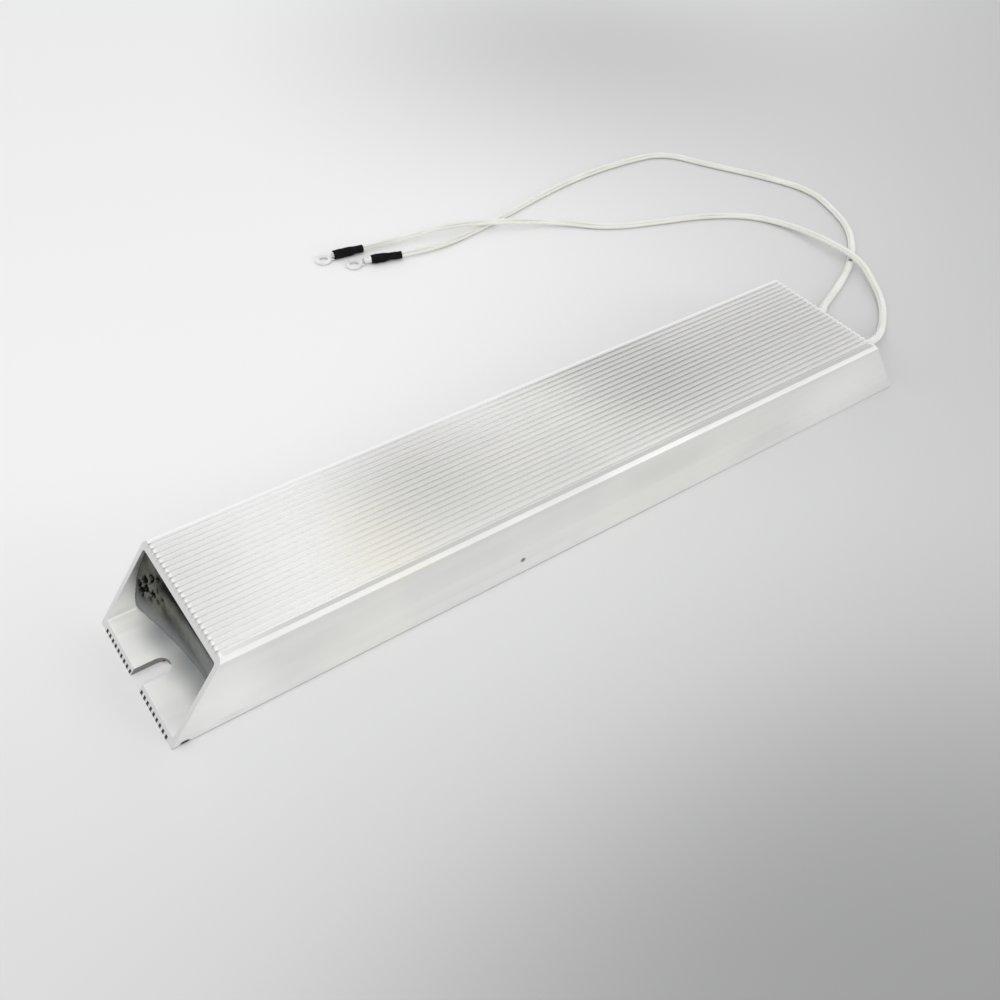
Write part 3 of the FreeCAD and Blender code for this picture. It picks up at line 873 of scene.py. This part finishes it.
def make_strands(mark):
    bm = bmesh.new()
    for around, count in strand_rings:
        for i in range(count):
            angle = math.tau * i / count
            made = bmesh.ops.create_cone(
                bm, cap_ends=True, segments=10, radius1=strand_radius * mm,
                radius2=strand_radius * mm, depth=strand_length * mm)["verts"]
            shift = Vector((around * math.cos(angle), around * math.sin(angle), strand_length / 2)) * mm
            bmesh.ops.translate(bm, vec=shift, verts=made)
    round_edges(bm, sharper_than(bm, 1.2), 0.06 * mm)
    lay_down = Matrix.Rotation(math.radians(90), 4, "Y")
    bmesh.ops.transform(bm, matrix=end_frame(routes[mark]) @ lay_down, verts=bm.verts)
    return place_piece(bm, "strands_" + mark, "tinned_strands", "core_outer_" + mark)


strands = {mark: make_strands(mark) for mark in "ab"}
print("strands:", [len(piece.data.polygons) for piece in strands.values()])

# %% [markdown]
# ### End cement
#
# The cement was pressed into the mouths by hand, so its face is uneven. At the near end it
# has slumped outward over the foot, most of all beside the left wall, where it has crumbled
# into deep pits. Under the roof it has shrunk away a little, and that gap is painted black as
# shade, as the pits are. A fine grid is pushed in and out by noise, each pit is a bowl with a
# ragged rim, and the grid's border is then drawn back into the housing as a solid block.

# %% Cement plugs
cavity_half_width = 28.0
cavity_floor, cavity_roof = 2.4, 27.6
corner_radius = 1.0
seal_face_x, seal_depth = 147.0, 11.0
plug_columns, plug_rows = 150, 68
# Pits beside the left wall: place across, height, radius and depth
near_pits = [
    (25.0, 13.1, 1.9, 2.6), (26.0, 15.2, 1.3, 2.0), (23.7, 17.6, 1.8, 2.8), (20.8, 20.4, 1.6, 2.4),
    (17.6, 22.4, 1.1, 1.6), (22.2, 15.3, 1.5, 2.6), (24.4, 11.0, 1.0, 1.6), (18.4, 15.2, 1.7, 2.4),
    (15.4, 14.4, 1.1, 1.8), (13.2, 17.2, 1.0, 1.5), (19.9, 12.0, 1.1, 1.8), (16.4, 18.4, 0.8, 1.2),
]


def into_corner(y, z):
    """A point of the plug's outline, drawn onto the round corners of the cavity."""
    middle = (cavity_floor + cavity_roof) / 2
    wide, high = cavity_half_width - corner_radius, (cavity_roof - cavity_floor) / 2 - corner_radius
    dy, dz = abs(y) - wide, abs(z - middle) - high
    if dy > 0 and dz > 0:
        pull = corner_radius / max(math.hypot(dy, dz), corner_radius)
        y = math.copysign(wide + dy * pull, y)
        z = middle + math.copysign(high + dz * pull, z - middle)
    return y, z


def slump(y, z):
    """How far the near cement bulges out of its mouth at a height, most at the left wall."""
    leftness = (y + cavity_half_width) / (2 * cavity_half_width)
    raised = (z - cavity_floor) / (cavity_roof - cavity_floor)
    return (1.2 + 7.6 * leftness ** 2.2) * (1 - raised ** (1 + 0.8 * leftness))


def unevenness(y, z, side):
    """How far the hand-pressed face lies behind its plane: broad swells and small lumps."""
    swells = noise.fractal(Vector((y * 0.16, z * 0.16, side)), 1.0, 2.0, 5)
    lumps = noise.noise(Vector((y * 1.3, z * 1.3, side)))
    return max(0.02, 0.5 + 0.35 * swells + 0.12 * lumps)


def pit_depth(y, z, pits):
    """How deep the deepest pit is at a place, with a ragged rim."""
    ragged = 0.5 * noise.noise(Vector((y * 0.9, z * 0.9, 7)))
    deep = 0.0
    for pit_y, pit_z, size, depth in pits:
        near = max(0.0, 1 - math.hypot(y - pit_y, z - pit_z) / size + ragged)
        deep = max(deep, depth * min(1.0, 2.2 * near))
    return deep


def shrinkage(y, z):
    """From 0 to 1 toward the roof, where the cement has drawn back and is painted dark as shade, except
    at the left wall.
    """
    return (min(1.0, max(0.0, (z - 17.5) / 4.0)) * min(1.0, max(0.0, (24.0 - y) / 10.0))) ** 2


def make_plug(name, node_name, side, slump_at, pits):
    bm = bmesh.new()
    hollow = bm.verts.layers.float.new("hollow")
    bmesh.ops.create_grid(bm, x_segments=plug_columns, y_segments=plug_rows, size=0.5)
    rim = [edge for edge in bm.edges if edge.is_boundary]
    for vert in bm.verts:
        y = 2 * cavity_half_width * vert.co.x
        z = cavity_floor + (cavity_roof - cavity_floor) * (vert.co.y + 0.5)
        deep, shrunk = pit_depth(y, z, pits), shrinkage(y, z)
        out = seal_face_x + slump_at(y, z) - unevenness(y, z, side) - deep - 0.5 * shrunk
        vert.co = Vector((side * out, *into_corner(y, z))) * mm
        # Painted shade: pits and the gap under the roof are marked for black through hollow.
        vert[hollow] = min(1.0, deep / 0.2 + 0.95 * shrunk)
    grown = bmesh.ops.extrude_edge_only(bm, edges=rim)["geom"]
    back_rim = [item for item in grown if isinstance(item, bmesh.types.BMEdge)]
    for vert in (item for item in grown if isinstance(item, bmesh.types.BMVert)):
        vert.co.x = side * (seal_face_x - seal_depth) * mm
        vert[hollow] = 0.0
    bmesh.ops.contextual_create(bm, geom=back_rim)
    bmesh.ops.recalc_face_normals(bm, faces=bm.faces)
    return place_piece(bm, name, "end_cement", node_name)


plugs = [make_plug("cement_near", "end_seal_near", -1, slump, near_pits),
         make_plug("cement_far", "end_seal_far", 1, lambda y, z: 0.0, [])]
print("cement faces:", [len(piece.data.polygons) for piece in plugs])

# %% [markdown]
# ## Finishes of the solids that stay
#
# The frame's record says which slot each solid belongs to, so a loop hands out the finishes.

# %% Finish the frame's own solids
for part in frame["record"]["subparts"]:
    solid = nodes[part["node"]]
    solid.data.materials.clear()
    solid.data.materials.append(finish[part["material_slot"]])

# %% [markdown]
# ## The leads' lengths
#
# The length of each lead along its route is printed.

for mark, y in (("a", 13.0), ("b", -13.0)):
    print("lead", mark, "is", round(lead_lengths[mark] / mm), "mm long")

# %% [markdown]
# ## Floor and light
#
# The floor is one large pale sheet whose colour carries painted light and shade: lighter on the
# left and greyer on the right, as paper beside a window looks, with a few soft painted shades and
# a painted light in the slot. Right under the foot a painted shadow makes it dark, so that the
# groove mouths look as deep as they are. The sky does most of the lighting: it is brighter
# overhead and on the window's side, and that difference is what bare metal shows. A wide lamp on
# the left gives the shadows a direction, and a low one in front brings out the bevel along the
# top's edge. Together they are a plain level, at which white paper looks white.

# %% Shades that change across the floor or the sky
toward_window = Vector((-0.616, 0.788, 0))
toward_viewer = Vector((-0.6, -0.8, 0))


def add_distance(tree, place, direction):
    """How far a point lies along a direction."""
    node = tree.nodes.new("ShaderNodeVectorMath")
    node.operation = "DOT_PRODUCT"
    tree.links.new(place, node.inputs[0])
    node.inputs[1].default_value = direction
    return node.outputs["Value"]


print("window side:", [round(v, 2) for v in toward_window])

# %% Floor
far_pale, far_grey = (0.9, 0.9, 0.9), (0.575, 0.575, 0.575)
near_pale, near_grey = (0.66, 0.66, 0.66), (0.235, 0.235, 0.235)
distant = (0.8, 0.8, 0.8)
shadow_under_foot = (0.12, 0.12, 0.12)
# Painted shades on the paper, and in the slot a painted light: centre, reach, grey and strength
floor_shades = [
    ((285, 325, 0), (285, 300, 300), (0.45, 0.45, 0.45), 0.6),
    ((-76, -173, 0), (200, 85, 85), (0.15, 0.15, 0.15), 0.26),
    ((-161, 0, 0), (13, 7, 7), (0.9, 0.9, 0.9), 0.85),
]


def make_floor():
    bm = bmesh.new()
    bmesh.ops.create_grid(bm, x_segments=1, y_segments=1, size=4.0)
    mesh = bpy.data.meshes.new("floor")
    bm.to_mesh(mesh)
    bm.free()
    floor = bpy.data.objects.new("floor", mesh)
    scene.collection.objects.link(floor)
    material, tree, shader, place = start_material("floor_paper", 0.85)
    shader.inputs["Specular IOR Level"].default_value = 0.0
    # Painted light and shade: paler toward the window, darker toward the viewer.
    across = add_ramp(tree, add_distance(tree, place, toward_window), -0.22, 0.12)
    nearer = add_ramp(tree, add_distance(tree, place, toward_viewer), -0.02, 0.22)
    far_shade = add_mix(tree, across, far_grey, far_pale)
    near_shade = add_mix(tree, across, near_grey, near_pale)
    shade = add_mix(tree, span(tree, nearer, 0.0, 0.8), far_shade, near_shade)
    for centre, radii, grey, strength in floor_shades:
        mask = span(tree, add_patch(tree, place, centre, radii), 0.0, strength)
        shade = add_mix(tree, mask, shade, grey)
    along, beside = add_axes(tree, place)[3:]
    # Painted shadow on the paper under the foot, away from the slot.
    hidden = both(tree, add_between(tree, along, 100, saw_plane - 0.1, 0.1),
                  add_between(tree, beside, 4.2, 26.0, 0.1))
    shade = add_mix(tree, hidden, shade, shadow_under_foot)
    around = add_patch(tree, place, (0, 0, 0), (1300, 1300, 1300), 0.4)
    tree.links.new(add_mix(tree, around, distant, shade), shader.inputs["Base Color"])
    mesh.materials.append(material)
    return floor


floor = make_floor()
print("floor size in m:", [round(v, 1) for v in floor.dimensions])

# %% Lamps and sky
def add_lamp(name, place, target, size, power):
    light = bpy.data.lights.new(name, "AREA")
    light.shape = "SQUARE"
    light.size = size
    light.energy = power
    lamp = bpy.data.objects.new(name, light)
    lamp.location = place
    lamp.rotation_euler = (Vector(target) - Vector(place)).to_track_quat("-Z", "Y").to_euler()
    scene.collection.objects.link(lamp)
    return lamp


def make_sky():
    world = bpy.data.worlds.new("sky")
    world.use_nodes = True
    tree = world.node_tree
    direction = tree.nodes.new("ShaderNodeTexCoord").outputs["Generated"]
    height = add_ramp(tree, add_distance(tree, direction, Vector((0, 0, 1))), 0.3, 0.95)
    window = add_ramp(tree, add_distance(tree, direction, toward_window), -0.5, 0.45)
    dim = add_mix(tree, height, (0.58, 0.58, 0.59), (0.85, 0.85, 0.86))
    bright = add_mix(tree, height, (0.85, 0.85, 0.85), (1.0, 1.0, 1.0))
    tree.links.new(add_mix(tree, window, dim, bright), tree.nodes["Background"].inputs["Color"])
    tree.nodes["Background"].inputs["Strength"].default_value = 1.0
    return world


scene.world = make_sky()
lamps = [
    add_lamp("left_lamp", (-0.75, -0.85, 1.1), (0, 0, 0), 1.0, 5.0),
    add_lamp("low_lamp", (0.6, -1.0, 0.45), (0, 0, 0.02), 0.5, 2.0),
]
print("lamps:", [lamp.name for lamp in lamps])
